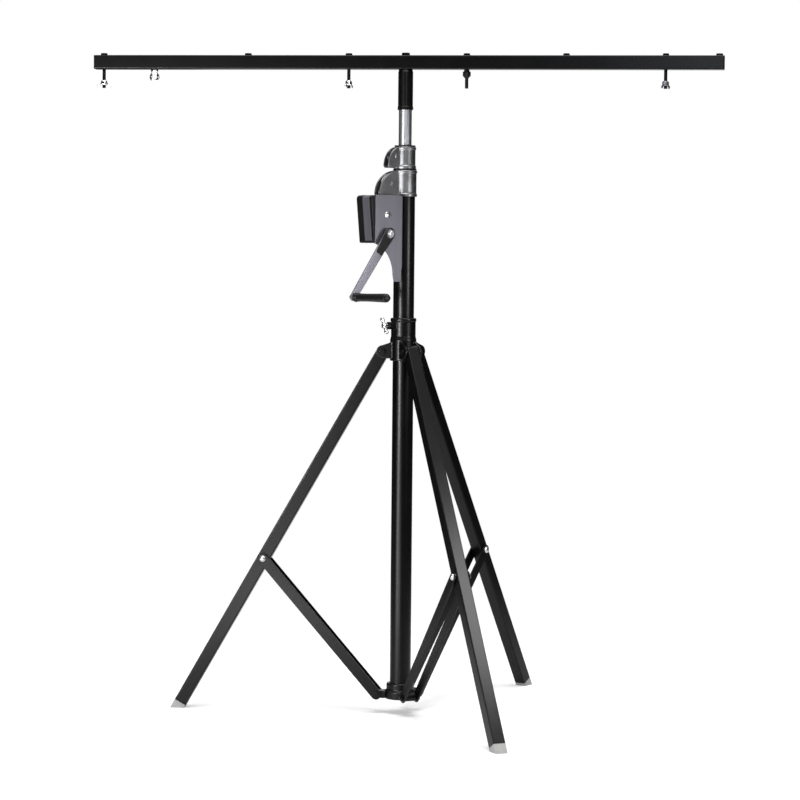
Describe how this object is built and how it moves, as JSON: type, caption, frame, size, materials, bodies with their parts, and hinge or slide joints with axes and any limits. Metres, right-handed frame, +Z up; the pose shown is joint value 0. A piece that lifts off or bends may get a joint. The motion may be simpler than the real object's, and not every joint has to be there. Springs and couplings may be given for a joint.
{
  "type": "crank light stand",
  "caption": "Telescopic lighting stand with a folding tripod, geared hand winch and drilled T-bar.",
  "frame": {"origin": "on the floor under the mast's axis, level with the undersides of the feet", "axes": "+Z up along the mast, +X along the T-bar, one leg towards -X; the winch stands off towards -X -Y"},
  "size_m": [1.5, 0.9804, 1.5748],
  "materials": {
    "black_powder_coat": "powder coated, satin black",
    "zinc_plate": "bright zinc plate",
    "chrome": "polished",
    "cast_aluminium": "tumbled casting",
    "grey_steel": "dark zinc plate, satin",
    "black_plastic": "moulded, fine grain",
    "grey_rubber": "moulded rubber",
    "nylon": "machined nylon",
    "wire": "stranded wire"
  },
  "bodies": {
    "mast": {"mast_outer_tube": "black_powder_coat", "lower_hub": "black_powder_coat", "hub_bolt_left": "black_powder_coat", "hub_bolt_front": "black_powder_coat", "hub_bolt_back": "black_powder_coat", "outer_tube_collar": "cast_aluminium", "outer_guide_bush": "black_plastic", "winch_frame": "grey_steel", "winch_cover": "black_plastic", "drum_axle": "zinc_plate", "wire_rope": "wire"},
    "drum": {"winch_drum": "zinc_plate", "drum_gear": "zinc_plate"},
    "crank": {"crank_shaft": "zinc_plate", "crank_arm": "grey_steel", "grip_spindle": "zinc_plate"},
    "grip": {"crank_grip": "black_plastic"},
    "pawl": {"ratchet_pawl": "zinc_plate"},
    "outer_pulley": {"outer_tube_pulley": "black_plastic"},
    "middle_stage": {"mast_middle_tube": "zinc_plate", "middle_tube_collar": "cast_aluminium", "middle_guide_bush": "black_plastic", "middle_stage_glide": "nylon"},
    "middle_pulley": {"middle_tube_pulley": "black_plastic"},
    "inner_stage": {"mast_inner_tube": "zinc_plate"},
    "tbar": {"tbar_socket": "black_powder_coat", "tbar_tube": "black_powder_coat", "tbar_end_cap_left": "black_plastic", "tbar_end_cap_right": "black_plastic", "tbar_eye_bolt": "chrome", "tbar_bolt_outer_left": "black_powder_coat", "tbar_bolt_inner_left": "black_powder_coat", "tbar_bolt_inner_right": "black_powder_coat", "tbar_bolt_outer_right": "black_powder_coat", "tbar_bolt_left": "black_powder_coat", "tbar_bolt_centre": "black_powder_coat", "tbar_bolt_right": "black_powder_coat", "tbar_bolt_end": "black_powder_coat"},
    "socket_screw": {"socket_lock_screw": "black_plastic"},
    "nut_outer_left": {"wing_nut_outer_left": "chrome"},
    "nut_inner_left": {"wing_nut_inner_left": "chrome"},
    "nut_outer_right": {"wing_nut_outer_right": "grey_steel"},
    "knob_inner_right": {"round_knob_inner_right": "black_plastic"},
    "collar": {"leg_collar": "black_powder_coat", "leg_pivot_bolt_left": "black_powder_coat", "leg_pivot_bolt_front": "black_powder_coat", "leg_pivot_bolt_back": "black_powder_coat"},
    "lock_handle": {"collar_lock_handle": "chrome"},
    "leg_left": {"leg_left": "black_powder_coat", "foot_left": "grey_rubber"},
    "strut_left": {"strut_left_a": "black_powder_coat", "strut_left_b": "black_powder_coat"},
    "leg_front": {"leg_front": "black_powder_coat", "foot_front": "grey_rubber"},
    "strut_front": {"strut_front_a": "black_powder_coat", "strut_front_b": "black_powder_coat"},
    "leg_back": {"leg_back": "black_powder_coat", "foot_back": "grey_rubber"},
    "strut_back": {"strut_back_a": "black_powder_coat", "strut_back_b": "black_powder_coat"}
  },
  "joints": [
    {"name": "crank_turn", "type": "hinge", "parent": "mast", "child": "crank", "pos_m": [-0.05445, -0.05445, 1.147], "axis": [-0.7071, 0.7071, 0], "range_deg": [0, 7920]},
    {"name": "drum_turn", "type": "hinge", "parent": "mast", "child": "drum", "pos_m": [-0.05233, -0.05233, 1.1909], "axis": [-0.7071, 0.7071, 0], "range_deg": [-1980, 0]},
    {"name": "middle_stage_lift", "type": "slide", "parent": "mast", "child": "middle_stage", "axis": [0, 0, 1], "range_m": [0, 0.75]},
    {"name": "inner_stage_lift", "type": "slide", "parent": "middle_stage", "child": "inner_stage", "axis": [0, 0, 1], "range_m": [0, 0.75]},
    {"name": "outer_pulley_turn", "type": "hinge", "parent": "mast", "child": "outer_pulley", "pos_m": [-0.03242, -0.03242, 1.264], "axis": [0.7071, -0.7071, 0], "range_deg": [0, 1800]},
    {"name": "middle_pulley_turn", "type": "hinge", "parent": "middle_stage", "child": "middle_pulley", "pos_m": [-0.02369, -0.02369, 1.33], "axis": [0.7071, -0.7071, 0], "range_deg": [0, 2690]},
    {"name": "grip_spin", "type": "hinge", "parent": "crank", "child": "grip", "pos_m": [-0.1294, -0.1294, 0.998], "axis": [0.7071, -0.7071, 0], "continuous": true},
    {"name": "pawl_swing", "type": "hinge", "parent": "mast", "child": "pawl", "pos_m": [-0.04844, -0.01945, 1.151], "axis": [-0.7071, 0.7071, 0], "range_deg": [0, 25]},
    {"name": "tbar_swivel", "type": "hinge", "parent": "inner_stage", "child": "tbar", "pos_m": [0, 0, 1.48], "axis": [0, 0, 1], "continuous": true},
    {"name": "socket_screw_turn", "type": "hinge", "parent": "tbar", "child": "socket_screw", "pos_m": [0, 0, 1.462], "axis": [0, 1, 0], "continuous": true},
    {"name": "nut_outer_left_turn", "type": "hinge", "parent": "tbar", "child": "nut_outer_left", "pos_m": [-0.728, 0, 1.499], "axis": [0, 0, 1], "continuous": true},
    {"name": "nut_inner_left_turn", "type": "hinge", "parent": "tbar", "child": "nut_inner_left", "pos_m": [-0.136, 0, 1.499], "axis": [0, 0, 1], "continuous": true},
    {"name": "nut_outer_right_turn", "type": "hinge", "parent": "tbar", "child": "nut_outer_right", "pos_m": [0.613, 0, 1.499], "axis": [0, 0, 1], "continuous": true},
    {"name": "knob_inner_right_turn", "type": "hinge", "parent": "tbar", "child": "knob_inner_right", "pos_m": [0.145, 0, 1.517], "axis": [0, 0, 1], "continuous": true},
    {"name": "collar_slide", "type": "slide", "parent": "mast", "child": "collar", "axis": [0, 0, 1], "range_m": [0, 0.172]},
    {"name": "lock_handle_turn", "type": "hinge", "parent": "collar", "child": "lock_handle", "pos_m": [-0.04101, -0.04101, 0.93], "axis": [-0.7071, -0.7071, 0], "continuous": true},
    {"name": "leg_left_fold", "type": "hinge", "parent": "collar", "child": "leg_left", "pos_m": [-0.0475, 0, 0.868], "axis": [0, -1, 0], "range_deg": [0, 23.7]},
    {"name": "strut_left_fold", "type": "hinge", "parent": "mast", "child": "strut_left", "pos_m": [-0.056, 0, 0.046], "axis": [0, -1, 0], "range_deg": [-33.8, 0]},
    {"name": "leg_front_fold", "type": "hinge", "parent": "collar", "child": "leg_front", "pos_m": [0.02375, -0.04114, 0.868], "axis": [0.866, 0.5, 0], "range_deg": [0, 23.7]},
    {"name": "strut_front_fold", "type": "hinge", "parent": "mast", "child": "strut_front", "pos_m": [0.028, -0.0485, 0.046], "axis": [0.866, 0.5, 0], "range_deg": [-33.8, 0]},
    {"name": "leg_back_fold", "type": "hinge", "parent": "collar", "child": "leg_back", "pos_m": [0.02375, 0.04114, 0.868], "axis": [-0.866, 0.5, 0], "range_deg": [0, 23.7]},
    {"name": "strut_back_fold", "type": "hinge", "parent": "mast", "child": "strut_back", "pos_m": [0.028, 0.0485, 0.046], "axis": [-0.866, 0.5, 0], "range_deg": [-33.8, 0]}
  ],
  "couplings": [
    {"joint": "drum_turn", "follows": "crank_turn", "ratio": -0.25},
    {"joint": "middle_stage_lift", "follows": "crank_turn", "m_per_rad": 0.0054257},
    {"joint": "inner_stage_lift", "follows": "crank_turn", "m_per_rad": 0.0054257},
    {"joint": "outer_pulley_turn", "follows": "crank_turn", "ratio": 0.22607},
    {"joint": "middle_pulley_turn", "follows": "crank_turn", "ratio": 0.33911},
    {"joint": "leg_left_fold", "follows": "collar_slide", "rad_per_m": 2.402},
    {"joint": "strut_left_fold", "follows": "collar_slide", "rad_per_m": -3.425},
    {"joint": "leg_front_fold", "follows": "collar_slide", "rad_per_m": 2.402},
    {"joint": "strut_front_fold", "follows": "collar_slide", "rad_per_m": -3.425},
    {"joint": "leg_back_fold", "follows": "collar_slide", "rad_per_m": 2.402},
    {"joint": "strut_back_fold", "follows": "collar_slide", "rad_per_m": -3.425}
  ]
}
